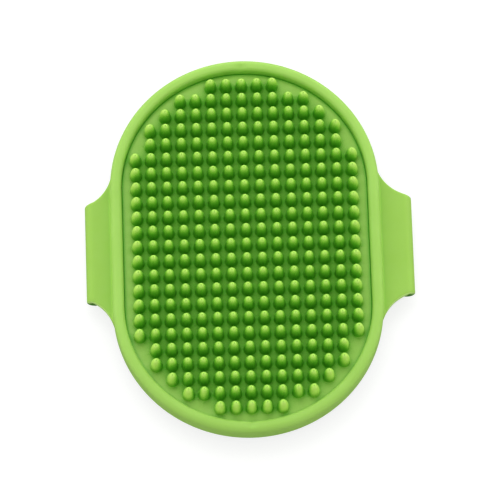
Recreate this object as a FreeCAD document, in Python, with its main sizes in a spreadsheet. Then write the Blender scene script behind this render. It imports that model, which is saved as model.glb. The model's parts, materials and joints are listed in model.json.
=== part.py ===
"""Rubber curry brush: a bristle pad in a soft rim, with a folded hand strap behind it.

The frame: +Z points the way the bristles do, +Y runs along the body and +X across it. The
origin is the middle of the body's back face, so the strap lies below Z = 0. Millimetres.
"""
import FreeCAD
import Part
import math
import os
import Sketcher

# name, millimetres (degrees or a count where the name says so), what it is
SIZES = [
    ("body_radius", 44.75, "outer radius of the body's round ends, half its width"),
    ("straight_half", 20.8, "half the length of the body's straight sides"),
    ("rim_height", 8.0, "crest of the rim above the back face"),
    ("rim_inner_radius", 40.95, "inner wall of the rim's bead"),
    ("bead_outer_round", 1.95, "rounding of the bead's outer edge"),
    ("bead_inner_round", 1.2, "rounding of its edge beside the pad"),
    ("lip_bottom", 3.45, "underside of the inward lip that holds the pad's flange"),
    ("seat_radius", 42.8, "wall around the pad's flange"),
    ("groove_radius", 43.75, "depth of the groove that grips the back plate"),
    ("groove_bottom", 0.65, "lower side of that groove"),
    ("groove_top", 1.4, "upper side of that groove"),
    ("mouth_radius", 42.85, "opening at the rim's back face"),
    ("plate_radius", 42.75, "back plate inside the rim's mouth"),
    ("plate_thickness", 1.35, "back plate"),
    ("tongue_radius", 43.65, "back plate's edge inside the rim's groove"),
    ("tongue_bottom", 0.7, "underside of that edge"),
    ("flange_radius", 42.75, "bristle pad's flange, under the rim's lip"),
    ("flange_bottom", 1.4, "underside of the bristle pad"),
    ("flange_top", 3.4, "top of that flange"),
    ("pad_radius", 40.75, "part of the pad that shows inside the rim"),
    ("pad_top", 4.4, "surface that the bristles stand on"),
    ("bristle_pitch", 5.15, "distance between bristles, both ways"),
    ("bristle_field_radius", 38.3, "bristle centres lie inside a body shape of this radius"),
    ("bristle_base_radius", 1.95, "bristle where it meets the pad"),
    ("bristle_neck_radius", 1.3, "bristle where its rounded tip starts"),
    ("bristle_tip_radius", 0.5, "flat on the rounded tip"),
    ("bristle_neck_height", 6.3, "height of that neck above the pad"),
    ("bristle_height", 7.0, "height of the tip above the pad"),
    ("strap_thickness", 2.0, "rubber sheet of the strap"),
    ("fold_height", 0.5, "height of the fold's axis"),
    ("fold_inner_radius", 0.9, "inside of the fold"),
    ("fold_gap_degrees", 50.0, "part of the fold left open, so that the link can swing"),
    ("left_fold", 50.5, "left fold's axis from the middle of the body"),
    ("right_fold", 52.6, "right fold's axis from the middle of the body"),
    ("fold_half_width", 17.0, "half the width of the strap at its outermost edge"),
    ("ear_half_width", 17.9, "half the width of the ear above the fold's axis"),
    ("ear_end", 44.45, "where the ear's outline meets the body"),
    ("ear_flare_radius", 14.0, "concave side of the ear, from the fold to the body"),
    ("tab_end", 36.0, "inner end of the strap's tab inside the body"),
    ("tab_half_width", 26.5, "half the width of the strap at the body"),
    ("tab_clearance", 0.05, "room around the tab in the rim and under the pad"),
    ("link_length", 33.4, "from the fold's axis to the bend's axis"),
    ("end_half_width", 14.0, "half the width of the strap behind the palm"),
    ("end_round", 6.0, "rounded corners of the strap's free ends"),
    ("bend_clearance", 0.1, "room around the bead in which the strap bends"),
    ("jog_start", 1.6, "from the bend to the step down to the lower layer"),
    ("jog_length", 4.0, "length of that step on its upper face"),
    ("jog_lead", 0.8, "the step's lower face ends this much sooner"),
    ("ladder_top", -2.6, "upper face of the lower layer"),
    ("ladder_bottom", -5.0, "back face of the lower layer, which the brush lies on"),
    ("ladder_tip", 30.0, "free end of the lower layer, past the middle"),
    ("stud_end_tip", 10.5, "free end of the upper layer, past the middle"),
    ("stud_place", -4.0, "studs and tightest seats, from the middle of the body"),
    ("stud_half_spacing", 7.0, "studs, each side of the strap's middle line"),
    ("stud_radius", 1.5, "stud's shank"),
    ("stud_head_radius", 3.2, "stud's mushroom head"),
    ("stud_head_top", -4.0, "upper face of the head"),
    ("stud_head_bottom", -4.85, "lower face of the head"),
    ("stud_flange_radius", 2.55, "stud's flange in the upper layer"),
    ("stud_flange_bottom", -1.15, "lower face of that flange"),
    ("stud_flange_top", -0.45, "upper face of that flange"),
    ("stud_seat_radius", 2.6, "counterbore for that flange"),
    ("stud_seat_bottom", -1.2, "bottom of that counterbore"),
    ("stud_hole_radius", 1.52, "hole for the shank in the upper layer"),
    ("ladder_pitch", 8.0, "distance between the round seats of a slot"),
    ("ladder_seat_count", 4.0, "round seats in a slot"),
    ("ladder_seat_radius", 2.3, "round seat"),
    ("channel_half_width", 1.6, "slot between two seats"),
    ("recess_half_width", 3.4, "channel in the back face that the heads run in"),
    ("recess_top", -3.9, "bottom of that channel"),
    ("pin_place", 39.5, "row of anchor pins from the middle of the body"),
    ("pin_pitch", 12.0, "distance between anchor pins"),
    ("pin_radius", 1.5, "anchor pin's shank"),
    ("pin_top", 3.35, "top of the anchor pin"),
    ("pin_hole_radius", 1.52, "hole for its shank"),
    ("pin_head_radius", 2.6, "anchor pin's head"),
    ("pin_head_top", 0.55, "upper face of that head"),
    ("pin_seat_radius", 2.65, "counterbore for that head"),
    ("pin_seat_top", 0.6, "bottom of that counterbore"),
    ("cut_margin", 5.0, "how far a cut runs past the solid"),
]

# The bristle grid reaches this many pitches each side of the middle
BRISTLE_COLUMNS = 7
BRISTLE_ROWS = 11
PINS_EACH_SIDE_OF_MIDDLE = 1
LEFT = -1
RIGHT = 1
PARTS_FOLDER = "parts"

doc = FreeCAD.newDocument("curry_brush")


# ------------------------------------------------------------------ sizes

class Length:
    """A length that carries both its number and its expression in the sheet."""

    def __init__(self, number, text):
        self.number = number
        self.text = text

    def __add__(self, other):
        return Length(self.number + other.number, f"({self.text} + {other.text})")

    def __sub__(self, other):
        return Length(self.number - other.number, f"({self.text} - {other.text})")

    def __mul__(self, factor):
        if isinstance(factor, Length):
            return Length(self.number * factor.number, f"({self.text} * {factor.text})")
        return Length(self.number * factor, f"({self.text} * {factor})")

    def __neg__(self):
        return self * -1


ZERO = Length(0.0, "0")


def make_sizes():
    """Write the sheet, and return every driving dimension by name."""
    sheet = doc.addObject("Spreadsheet::Sheet", "Sizes")
    for row, (name, value, meaning) in enumerate(SIZES, start=1):
        sheet.set(f"A{row}", name)
        sheet.set(f"B{row}", str(value))
        sheet.set(f"C{row}", meaning)
        sheet.setAlias(f"B{row}", name)
    doc.recompute()
    return {name: Length(value, f"Sizes.{name}") for name, value, _ in SIZES}


SIZE = make_sizes()
THICKNESS = SIZE["strap_thickness"]
EAR_BOTTOM = SIZE["fold_height"] + SIZE["fold_inner_radius"]
EAR_TOP = EAR_BOTTOM + THICKNESS
LINK_TOP = SIZE["fold_height"] - SIZE["fold_inner_radius"]
LINK_BOTTOM = LINK_TOP - THICKNESS


def cosine_and_sine(degrees):
    """Cosine and sine of an angle that the sheet holds in degrees."""
    angle = math.radians(degrees.number)
    cosine = Length(math.cos(angle), f"cos({degrees.text} * 1 deg)")
    sine = Length(math.sin(angle), f"sin({degrees.text} * 1 deg)")
    return cosine, sine


# --------------------------------------------------------------- sketches

def bind(target, name, length):
    """Set a property or constraint from the sheet."""
    target.setExpression(name, length.text)


def constrain(sketch, kind, *where, length=None):
    """Add a constraint, bound to the sheet when it has a length."""
    if length is None:
        sketch.addConstraint(Sketcher.Constraint(kind, *where))
        return
    index = sketch.addConstraint(Sketcher.Constraint(kind, *where, length.number))
    bind(sketch, f"Constraints[{index}]", length)


def place(sketch, curve, vertex, x, y):
    """Fix one point of a sketch curve, measured from the sketch's origin."""
    for kind, length in (("DistanceX", x), ("DistanceY", y)):
        constrain(sketch, kind, -1, 1, curve, vertex, length=length)


def new_body(label):
    """An empty PartDesign body for one piece."""
    body = doc.addObject("PartDesign::Body", label)
    body.Label = label
    return body


def new_sketch(body, name, plane, level=ZERO):
    """A sketch on one of the body's own origin planes, raised by level."""
    sketch = body.newObject("Sketcher::SketchObject", name)
    support = next(item for item in body.Origin.OriginFeatures if item.Role == plane)
    sketch.AttachmentSupport = (support, [""])
    sketch.MapMode = "FlatFace"
    bind(sketch, ".AttachmentOffset.Base.z", level)
    return sketch


def point(x, y):
    """A drawing point from two lengths."""
    return FreeCAD.Vector(x.number, y.number, 0)


def arc_between(start, end, radius):
    """Short arc from start to end; a positive radius turns left, a negative one right."""
    chord = end - start
    rise = math.sqrt(radius ** 2 - (chord.Length / 2) ** 2)
    left = FreeCAD.Vector(-chord.y, chord.x, 0).normalize()
    centre = (start + end) * 0.5 + left * math.copysign(rise, radius)
    first, last = (start, end) if radius > 0 else (end, start)
    begin = math.atan2(first.y - centre.y, first.x - centre.x)
    finish = math.atan2(last.y - centre.y, last.x - centre.x)
    circle = Part.Circle(centre, FreeCAD.Vector(0, 0, 1), abs(radius))
    return Part.ArcOfCircle(circle, begin, finish)


def draw_outline(sketch, steps):
    """Draw a closed outline.

    Each step is (x, y) at the end of a line, or (x, y, radius) at the end of an arc. The
    outline starts and ends at the last step's point.
    """
    ends = []
    previous = steps[-1]
    for step in steps:
        start = point(*previous[:2])
        end = point(*step[:2])
        if len(step) == 2:
            curve = sketch.addGeometry(Part.LineSegment(start, end))
            ends.append((curve, 1, 2))
        else:
            radius = step[2]
            curve = sketch.addGeometry(arc_between(start, end, radius.number))
            constrain(sketch, "Radius", curve, length=radius * math.copysign(1, radius.number))
            ends.append((curve, 1, 2) if radius.number > 0 else (curve, 2, 1))
        previous = step
    for index, (curve, first, _) in enumerate(ends):
        before, _, last = ends[index - 1]
        constrain(sketch, "Coincident", before, last, curve, first)
    for (curve, _, last), step in zip(ends, steps):
        place(sketch, curve, last, step[0], step[1])


def draw_box(sketch, low_x, high_x, low_y, high_y):
    """Draw a rectangle."""
    draw_outline(sketch, [(low_x, low_y), (high_x, low_y), (high_x, high_y), (low_x, high_y)])


def draw_circle(sketch, x, y, radius):
    """Draw one circle."""
    circle = Part.Circle(point(x, y), FreeCAD.Vector(0, 0, 1), radius.number)
    curve = sketch.addGeometry(circle)
    constrain(sketch, "Radius", curve, length=radius)
    place(sketch, curve, 3, x, y)


def draw_stadium(sketch, radius):
    """Draw the body's plan: two half circles joined by straight sides."""
    upright = FreeCAD.Vector(0, 0, 1)
    half = SIZE["straight_half"].number
    reach = radius.number
    top = Part.Circle(FreeCAD.Vector(0, half, 0), upright, reach)
    bottom = Part.Circle(FreeCAD.Vector(0, -half, 0), upright, reach)
    corners = [FreeCAD.Vector(x * reach, y * half, 0) for x, y in ((-1, 1), (-1, -1), (1, -1), (1, 1))]
    sketch.addGeometry(Part.ArcOfCircle(top, 0, math.pi))
    sketch.addGeometry(Part.LineSegment(corners[0], corners[1]))
    sketch.addGeometry(Part.ArcOfCircle(bottom, math.pi, 2 * math.pi))
    sketch.addGeometry(Part.LineSegment(corners[2], corners[3]))
    for curve in range(4):
        constrain(sketch, "Tangent", curve, 2, (curve + 1) % 4, 1)
    place(sketch, 0, 3, ZERO, SIZE["straight_half"])
    place(sketch, 2, 3, ZERO, -SIZE["straight_half"])
    constrain(sketch, "Radius", 0, length=radius)


# --------------------------------------------------------------- features

def pad_up(body, sketch, length):
    """Add material from the sketch upwards."""
    pad = body.newObject("PartDesign::Pad", f"{sketch.Name}_pad")
    pad.Profile = sketch
    bind(pad, "Length", length)
    doc.recompute()
    return pad


def pad_both_ways(body, sketch, length):
    """Add material to both sides of the sketch, length from face to face."""
    pad = body.newObject("PartDesign::Pad", f"{sketch.Name}_pad")
    pad.Profile = sketch
    pad.Midplane = True
    bind(pad, "Length", length)
    doc.recompute()
    return pad


def cut_down(body, sketch, length):
    """Cut from the sketch downwards, and make sure that something was cut."""
    before = body.Shape.Volume
    pocket = body.newObject("PartDesign::Pocket", f"{sketch.Name}_cut")
    pocket.Profile = sketch
    bind(pocket, "Length", length)
    doc.recompute()
    if body.Shape.Volume >= before:
        raise RuntimeError(f"{pocket.Label} cuts nothing")
    return pocket


def stadium_pad(body, name, radius, low, high):
    """A layer of the body's plan shape between two heights."""
    sketch = new_sketch(body, name, "XY_Plane", low)
    draw_stadium(sketch, radius)
    return pad_up(body, sketch, high - low)


def stadium_cut(body, name, radius, low, high):
    """A hollow of the body's plan shape between two heights."""
    sketch = new_sketch(body, name, "XY_Plane", high)
    draw_stadium(sketch, radius)
    return cut_down(body, sketch, high - low)


def round_holes(body, name, places, radius, low, high):
    """Round holes between two heights."""
    sketch = new_sketch(body, name, "XY_Plane", high)
    for x, y in places:
        draw_circle(sketch, x, y, radius)
    return cut_down(body, sketch, high - low)


def tab_cut(body, name, side, high):
    """Room for one strap tab, from the plate up to the given height."""
    inner = SIZE["tab_end"] - SIZE["tab_clearance"]
    outer = SIZE["body_radius"] + SIZE["cut_margin"]
    half = SIZE["tab_half_width"] + SIZE["tab_clearance"]
    sketch = new_sketch(body, name, "XY_Plane", high)
    draw_box(sketch, inner * side, outer * side, -half, half)
    return cut_down(body, sketch, high - SIZE["plate_thickness"])


def fillet(body, name, base, radius, wanted):
    """Round the edges of base that the test named wanted picks."""
    names = [f"Edge{number}" for number, edge in enumerate(base.Shape.Edges, 1) if wanted(edge)]
    rounding = body.newObject("PartDesign::Fillet", f"{body.Name}_{name}")
    rounding.Base = (base, names)
    bind(rounding, "Radius", radius)
    doc.recompute()
    return rounding


def turned_piece(label, steps):
    """A piece turned about the Z axis from its half section."""
    body = new_body(label)
    sketch = new_sketch(body, f"{label}_section", "XZ_Plane")
    draw_outline(sketch, steps)
    turning = body.newObject("PartDesign::Revolution", f"{label}_turning")
    turning.Profile = sketch
    turning.ReferenceAxis = (sketch, ["V_Axis"])
    doc.recompute()
    return body


def copies(label, source, places):
    """The same piece at several places, as one object."""
    shapes = []
    for x, y in places:
        shape = source.Shape.copy()
        shape.translate(FreeCAD.Vector(x.number, y.number, 0))
        shapes.append(shape)
    group = doc.addObject("Part::Feature", label)
    group.Label = label
    group.Shape = Part.makeCompound(shapes)
    group.Placement = FreeCAD.Placement()
    return group


# ------------------------------------------------------------ the body

def bristle_places():
    """Square grid of bristle centres, kept where the field's outline holds them."""
    pitch = SIZE["bristle_pitch"]
    places = []
    for row in range(-BRISTLE_ROWS, BRISTLE_ROWS + 1):
        for column in range(-BRISTLE_COLUMNS, BRISTLE_COLUMNS + 1):
            x = pitch * column
            y = pitch * row
            past_straight = max(0.0, abs(y.number) - SIZE["straight_half"].number)
            if math.hypot(x.number, past_straight) <= SIZE["bristle_field_radius"].number:
                places.append((x, y))
    return places


def pin_places(side):
    """Anchor pins of one tab."""
    steps = range(-PINS_EACH_SIDE_OF_MIDDLE, PINS_EACH_SIDE_OF_MIDDLE + 1)
    return [(SIZE["pin_place"] * side, SIZE["pin_pitch"] * step) for step in steps]


def make_bristle():
    """One bristle: a cone with a rounded tip."""
    foot = SIZE["pad_top"]
    neck = foot + SIZE["bristle_neck_height"]
    tip = foot + SIZE["bristle_height"]
    tip_round = tip - neck
    return turned_piece("bristle", [
        (ZERO, foot),
        (SIZE["bristle_base_radius"], foot),
        (SIZE["bristle_neck_radius"], neck),
        (SIZE["bristle_tip_radius"], tip, tip_round),
        (ZERO, tip),
    ])


def make_bristle_pad():
    """Flexible pad with its flange and all its bristles, moulded as one."""
    base = new_body("pad_base")
    stadium_pad(base, "flange", SIZE["flange_radius"], SIZE["flange_bottom"], SIZE["flange_top"])
    stadium_pad(base, "pad", SIZE["pad_radius"], SIZE["flange_bottom"], SIZE["pad_top"])
    for side, name in ((LEFT, "left_notch"), (RIGHT, "right_notch")):
        tab_cut(base, name, side, EAR_TOP + SIZE["tab_clearance"])
    field = copies("bristle_field", make_bristle(), bristle_places())
    whole = doc.addObject("Part::Fuse", "bristle_pad")
    whole.Label = "bristle_pad"
    whole.Base = base
    whole.Tool = field
    return whole


def make_rim_frame():
    """Soft frame: a rounded bead around the pad, a lip over it and a groove for the plate."""
    rim = new_body("rim_frame")
    stadium_pad(rim, "rim", SIZE["body_radius"], ZERO, SIZE["rim_height"])
    stadium_cut(rim, "mouth", SIZE["mouth_radius"], ZERO, SIZE["groove_bottom"])
    stadium_cut(rim, "groove", SIZE["groove_radius"], SIZE["groove_bottom"], SIZE["groove_top"])
    stadium_cut(rim, "seat", SIZE["seat_radius"], SIZE["groove_top"], SIZE["lip_bottom"])
    stadium_cut(rim, "opening", SIZE["rim_inner_radius"], SIZE["lip_bottom"], SIZE["rim_height"])
    for side, name in ((LEFT, "left_window"), (RIGHT, "right_window")):
        last = tab_cut(rim, name, side, EAR_TOP + SIZE["tab_clearance"])
    crest = SIZE["rim_height"].number
    middle = (SIZE["body_radius"].number + SIZE["rim_inner_radius"].number) / 2

    def on_crest(edge, outer):
        outside = abs(edge.Vertexes[0].X) > middle
        return edge.BoundBox.ZMin > crest - 0.01 and outside == outer

    rounded = fillet(rim, "outer_round", last, SIZE["bead_outer_round"], lambda edge: on_crest(edge, True))
    fillet(rim, "inner_round", rounded, SIZE["bead_inner_round"], lambda edge: on_crest(edge, False))
    return rim


def make_back_plate():
    """Stiff plate that closes the back and carries the strap's pins."""
    plate = new_body("back_plate")
    top = SIZE["plate_thickness"]
    stadium_pad(plate, "plate", SIZE["plate_radius"], ZERO, top)
    stadium_pad(plate, "tongue", SIZE["tongue_radius"], SIZE["tongue_bottom"], top)
    places = pin_places(LEFT) + pin_places(RIGHT)
    round_holes(plate, "pin_holes", places, SIZE["pin_hole_radius"], ZERO, top)
    round_holes(plate, "pin_seats", places, SIZE["pin_seat_radius"], ZERO, SIZE["pin_seat_top"])
    return plate


def make_anchor_pins():
    """Headed pins pushed through the plate and the tabs."""
    pin = turned_piece("anchor_pin", [
        (ZERO, ZERO),
        (SIZE["pin_head_radius"], ZERO),
        (SIZE["pin_head_radius"], SIZE["pin_head_top"]),
        (SIZE["pin_radius"], SIZE["pin_head_top"]),
        (SIZE["pin_radius"], SIZE["pin_top"]),
        (ZERO, SIZE["pin_top"]),
    ])
    return copies("strap_anchor_pins", pin, pin_places(LEFT) + pin_places(RIGHT))


# ------------------------------------------------------------ the strap

def make_strap_root(label, side, fold):
    """Tab inside the body, the ear beside it and the upper part of the fold.

    The section is drawn outwards from the middle of the body, so side mirrors it.
    """
    root = new_body(label)
    level = SIZE["fold_height"]
    inner = SIZE["fold_inner_radius"]
    outer = inner + THICKNESS
    gap_cosine, gap_sine = cosine_and_sine(SIZE["fold_gap_degrees"])
    section = new_sketch(root, f"{label}_section", "XZ_Plane")
    draw_outline(section, [
        (SIZE["tab_end"] * side, EAR_TOP),
        (fold * side, EAR_TOP),
        ((fold + outer * gap_sine) * side, level - outer * gap_cosine, outer * -side),
        ((fold + inner * gap_sine) * side, level - inner * gap_cosine),
        (fold * side, EAR_BOTTOM, inner * side),
        (SIZE["tab_end"] * side, EAR_BOTTOM),
    ])
    pad_both_ways(root, section, SIZE["tab_half_width"] * 2)
    for half in (-1, 1):
        cut_ear_side(root, f"{label}_side_{half + 1}", side, half, fold)
    doc.recompute()
    places = pin_places(side)
    round_holes(root, f"{label}_holes", places, SIZE["pin_hole_radius"], EAR_BOTTOM, EAR_TOP)
    return root


def cut_ear_side(root, name, side, half, fold):
    """Trim one side of the ear to its concave outline; half says which side of the middle."""
    edge = fold + SIZE["fold_inner_radius"] + THICKNESS
    clear = edge + SIZE["cut_margin"]
    far = (SIZE["tab_half_width"] + SIZE["cut_margin"]) * half
    sketch = new_sketch(root, name, "XY_Plane", EAR_TOP + SIZE["cut_margin"])
    draw_outline(sketch, [
        (SIZE["ear_end"] * side, SIZE["tab_half_width"] * half),
        (fold * side, SIZE["ear_half_width"] * half, SIZE["ear_flare_radius"] * (-side * -half)),
        (edge * side, SIZE["fold_half_width"] * half),
        (clear * side, SIZE["fold_half_width"] * half),
        (clear * side, far),
        (SIZE["ear_end"] * side, far),
    ])
    return cut_down(root, sketch, (SIZE["cut_margin"] + THICKNESS) * 2)


def make_strap_link(label, side, fold):
    """Strap behind the body, from the fold to the bead in which it bends."""
    link = new_body(label)
    bend = fold - SIZE["link_length"]
    bead = THICKNESS * 0.5
    section = new_sketch(link, f"{label}_section", "XZ_Plane")
    draw_outline(section, [
        (fold * side, LINK_TOP),
        (bend * side, LINK_TOP),
        ((bend - bead) * side, LINK_TOP - bead, bead * side * -1),
        (bend * side, LINK_BOTTOM, bead * side * -1),
        (fold * side, LINK_BOTTOM),
    ])
    pad_both_ways(link, section, SIZE["fold_half_width"] * 2)
    for half in (-1, 1):
        sketch = new_sketch(link, f"{label}_side_{half + 1}", "XY_Plane", LINK_TOP)
        far = (SIZE["fold_half_width"] + SIZE["cut_margin"]) * half
        draw_outline(sketch, [
            (fold * side, SIZE["fold_half_width"] * half),
            (bend * side, SIZE["end_half_width"] * half),
            ((bend - SIZE["cut_margin"]) * side, SIZE["end_half_width"] * half),
            ((bend - SIZE["cut_margin"]) * side, far),
            (fold * side, far),
        ])
        cut_down(link, sketch, THICKNESS)
    return link


def round_free_end(body, base, tip):
    """Round the two upright edges at a free end."""
    def upright_at_tip(edge):
        box = edge.BoundBox
        return abs(box.XMin - tip.number) < 0.01 and box.ZLength > 1 and box.YLength < 0.01
    return fillet(body, "corners", base, SIZE["end_round"], upright_at_tip)


def ladder_places(side_of_middle, steps):
    """Seats of one slot of the ladder, at the given steps of its pitch."""
    y = SIZE["stud_half_spacing"] * side_of_middle
    return [(SIZE["stud_place"] + SIZE["ladder_pitch"] * step, y) for step in steps]


def make_ladder_end():
    """Strap end with two slots; it steps down to pass under the other end."""
    end = new_body("left_strap_end")
    bend = SIZE["left_fold"] - SIZE["link_length"]
    start = -(bend - THICKNESS * 0.5 - SIZE["bend_clearance"])
    jog = -(bend - SIZE["jog_start"])
    jog_end = jog + SIZE["jog_length"]
    section = new_sketch(end, "ladder_section", "XZ_Plane")
    draw_outline(section, [
        (start, LINK_TOP),
        (jog, LINK_TOP),
        (jog_end, SIZE["ladder_top"]),
        (SIZE["ladder_tip"], SIZE["ladder_top"]),
        (SIZE["ladder_tip"], SIZE["ladder_bottom"]),
        (jog_end - SIZE["jog_lead"], SIZE["ladder_bottom"]),
        (start, LINK_BOTTOM),
    ])
    base = pad_both_ways(end, section, SIZE["end_half_width"] * 2)
    round_free_end(end, base, SIZE["ladder_tip"])
    cut_ladder(end)
    return end


def cut_ladder(end):
    """Cut the slots with their round seats, and the channel that the stud heads run in."""
    last = int(SIZE["ladder_seat_count"].number) - 1
    both = (-1, 1)
    ends = [place for half in both for place in ladder_places(half, (0, last))]
    seats = [place for half in both for place in ladder_places(half, range(last + 1))]
    bottom = SIZE["ladder_bottom"]
    round_holes(end, "recess_ends", ends, SIZE["recess_half_width"], bottom, SIZE["recess_top"])
    lane_cut(end, "recess", SIZE["recess_half_width"], bottom, SIZE["recess_top"], last)
    round_holes(end, "seats", seats, SIZE["ladder_seat_radius"], bottom, SIZE["ladder_top"])
    lane_cut(end, "channel", SIZE["channel_half_width"], bottom, SIZE["ladder_top"], last)


def lane_cut(body, name, half_width, low, high, last):
    """Two straight lanes from the first seat to the last."""
    sketch = new_sketch(body, name, "XY_Plane", high)
    first_x = SIZE["stud_place"]
    last_x = first_x + SIZE["ladder_pitch"] * last
    for half in (-1, 1):
        middle = SIZE["stud_half_spacing"] * half
        draw_box(sketch, first_x, last_x, middle - half_width, middle + half_width)
    return cut_down(body, sketch, high - low)


def make_stud_end():
    """Strap end that carries the studs, in the upper layer."""
    end = new_body("right_strap_end")
    bend = SIZE["right_fold"] - SIZE["link_length"]
    start = bend - THICKNESS * 0.5 - SIZE["bend_clearance"]
    tip = -SIZE["stud_end_tip"]
    plan = new_sketch(end, "stud_end_plan", "XY_Plane", LINK_BOTTOM)
    draw_box(plan, tip, start, -SIZE["end_half_width"], SIZE["end_half_width"])
    base = pad_up(end, plan, THICKNESS)
    round_free_end(end, base, tip)
    places = stud_places()
    round_holes(end, "stud_holes", places, SIZE["stud_hole_radius"], LINK_BOTTOM, LINK_TOP)
    round_holes(end, "stud_seats", places, SIZE["stud_seat_radius"],
                SIZE["stud_seat_bottom"], LINK_TOP)
    return end


def stud_places():
    """The two studs, each in the first seat of its slot."""
    return ladder_places(-1, (0,)) + ladder_places(1, (0,))


def make_studs():
    """Mushroom studs: a flange in the upper layer and a head under the lower one."""
    stud = turned_piece("stud", [
        (ZERO, SIZE["stud_head_bottom"]),
        (SIZE["stud_head_radius"], SIZE["stud_head_bottom"]),
        (SIZE["stud_head_radius"], SIZE["stud_head_top"]),
        (SIZE["stud_radius"], SIZE["stud_head_top"]),
        (SIZE["stud_radius"], SIZE["stud_flange_bottom"]),
        (SIZE["stud_flange_radius"], SIZE["stud_flange_bottom"]),
        (SIZE["stud_flange_radius"], SIZE["stud_flange_top"]),
        (ZERO, SIZE["stud_flange_top"]),
    ])
    return copies("strap_studs", stud, stud_places())


# ------------------------------------------------------------ the output

def check_document():
    """Stop if any object failed to build."""
    doc.recompute()
    for item in doc.Objects:
        if "Invalid" in item.State or "Error" in item.State:
            raise RuntimeError(f"{item.Label} failed: {item.State}")


def export(piece):
    """Check one sub-part's shape and write it."""
    shape = piece.Shape
    if shape.isNull() or not shape.isValid():
        raise RuntimeError(f"{piece.Label} has no valid shape")
    if not shape.Solids:
        raise RuntimeError(f"{piece.Label} has no solid")
    shape.exportStep(f"{PARTS_FOLDER}/{piece.Label}.step")


def main():
    """Build every sub-part and write the files."""
    left = SIZE["left_fold"]
    right = SIZE["right_fold"]
    pieces = [
        make_bristle_pad(),
        make_rim_frame(),
        make_back_plate(),
        make_strap_root("left_strap_root", LEFT, left),
        make_strap_root("right_strap_root", RIGHT, right),
        make_anchor_pins(),
        make_strap_link("left_strap_link", LEFT, left),
        make_strap_link("right_strap_link", RIGHT, right),
        make_ladder_end(),
        make_stud_end(),
        make_studs(),
    ]
    check_document()
    os.makedirs(PARTS_FOLDER, exist_ok=True)
    for piece in pieces:
        export(piece)


main()
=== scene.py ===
"""Looks of the rubber curry brush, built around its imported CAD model.

The frame is the CAD frame in metres: +Z the way the bristles point, +Y along the body, +X
across it, and the origin in the middle of the body's back face.
"""
import bmesh
import bpy
import json
import math
import numpy as np
from mathutils import Euler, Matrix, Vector
from mathutils.geometry import delaunay_2d_cdt

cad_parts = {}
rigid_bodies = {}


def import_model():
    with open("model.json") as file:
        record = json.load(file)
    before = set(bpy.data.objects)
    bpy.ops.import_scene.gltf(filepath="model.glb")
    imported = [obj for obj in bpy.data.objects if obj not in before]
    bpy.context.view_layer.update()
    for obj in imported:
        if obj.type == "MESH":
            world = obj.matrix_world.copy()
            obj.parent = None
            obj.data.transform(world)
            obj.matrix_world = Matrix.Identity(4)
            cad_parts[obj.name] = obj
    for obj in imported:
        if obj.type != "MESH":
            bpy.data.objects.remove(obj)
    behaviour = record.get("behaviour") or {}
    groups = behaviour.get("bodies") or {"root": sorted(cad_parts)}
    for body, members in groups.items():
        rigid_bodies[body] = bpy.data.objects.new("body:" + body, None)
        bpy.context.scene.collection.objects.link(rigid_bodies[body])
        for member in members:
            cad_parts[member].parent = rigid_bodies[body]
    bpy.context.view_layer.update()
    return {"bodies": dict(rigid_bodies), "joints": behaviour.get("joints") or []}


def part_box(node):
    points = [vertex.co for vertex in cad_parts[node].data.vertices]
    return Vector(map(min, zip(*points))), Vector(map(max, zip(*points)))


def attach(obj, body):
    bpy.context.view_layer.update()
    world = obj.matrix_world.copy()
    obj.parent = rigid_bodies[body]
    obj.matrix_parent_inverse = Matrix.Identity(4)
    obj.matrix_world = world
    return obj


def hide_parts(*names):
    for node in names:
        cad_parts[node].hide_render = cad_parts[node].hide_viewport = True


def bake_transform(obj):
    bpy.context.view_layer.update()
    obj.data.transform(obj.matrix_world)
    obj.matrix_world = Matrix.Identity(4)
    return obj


MM = 0.001
TAU = 2 * math.pi
SMOOTH_ANGLE = 35
PAD_SMOOTH_ANGLE = 50


def srgb(red, green, blue):
    """Linear colour from 0-255 display values."""
    def linear(value):
        value /= 255
        return value / 12.92 if value <= 0.04045 else ((value + 0.055) / 1.055) ** 2.4
    return (linear(red), linear(green), linear(blue), 1.0)


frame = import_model()

# Sizes that come from the frame
_, RIM_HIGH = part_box("rim_frame")
PAD_LOW, PAD_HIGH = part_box("bristle_pad")
PLATE_LOW, PLATE_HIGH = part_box("back_plate")
STUD_LOW, STUD_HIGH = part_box("strap_studs")
LADDER_LOW, LADDER_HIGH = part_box("left_strap_end")
STUD_END_LOW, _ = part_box("right_strap_end")
LINK_LOW, LINK_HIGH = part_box("left_strap_link")
BODY_RADIUS = RIM_HIGH.x
STRAIGHT_HALF = RIM_HIGH.y - BODY_RADIUS
JOINT_PLACE = {joint["name"]: Vector(joint["pos_m"]) for joint in frame["joints"]}

# Bristle pad
PAD_PLANE = 4.4 * MM
PAD_RADIUS = 40.93 * MM
PAD_EDGE_ROUND = 0.3 * MM
FLANGE_RADIUS = 42.7 * MM
FLANGE_TOP = 3.35 * MM
BRISTLE_PITCH = 5.15 * MM
BRISTLE_FIELD_RADIUS = 38.3 * MM
BRISTLE_COLUMNS = 7
BRISTLE_ROWS = 11
BRISTLE_SEGMENTS = 28
BRISTLE_RADIUS = 1.95 * MM
BRISTLE_FOOT_RADIUS = 2.3 * MM
BRISTLE_FOOT_ROUND = 0.5 * MM
BRISTLE_FOOT_COVER = 0.98 * BRISTLE_FOOT_RADIUS
BRISTLE_FULLNESS = 2.2
BRISTLE_STEPS = 15
BRISTLE_STEP_POWER = 1.15
TIP_RADIUS = 0.26 * MM
TIP_DIMPLE = 0.1 * MM
TIP_DIMPLE_RADIUS = 0.14 * MM

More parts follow.
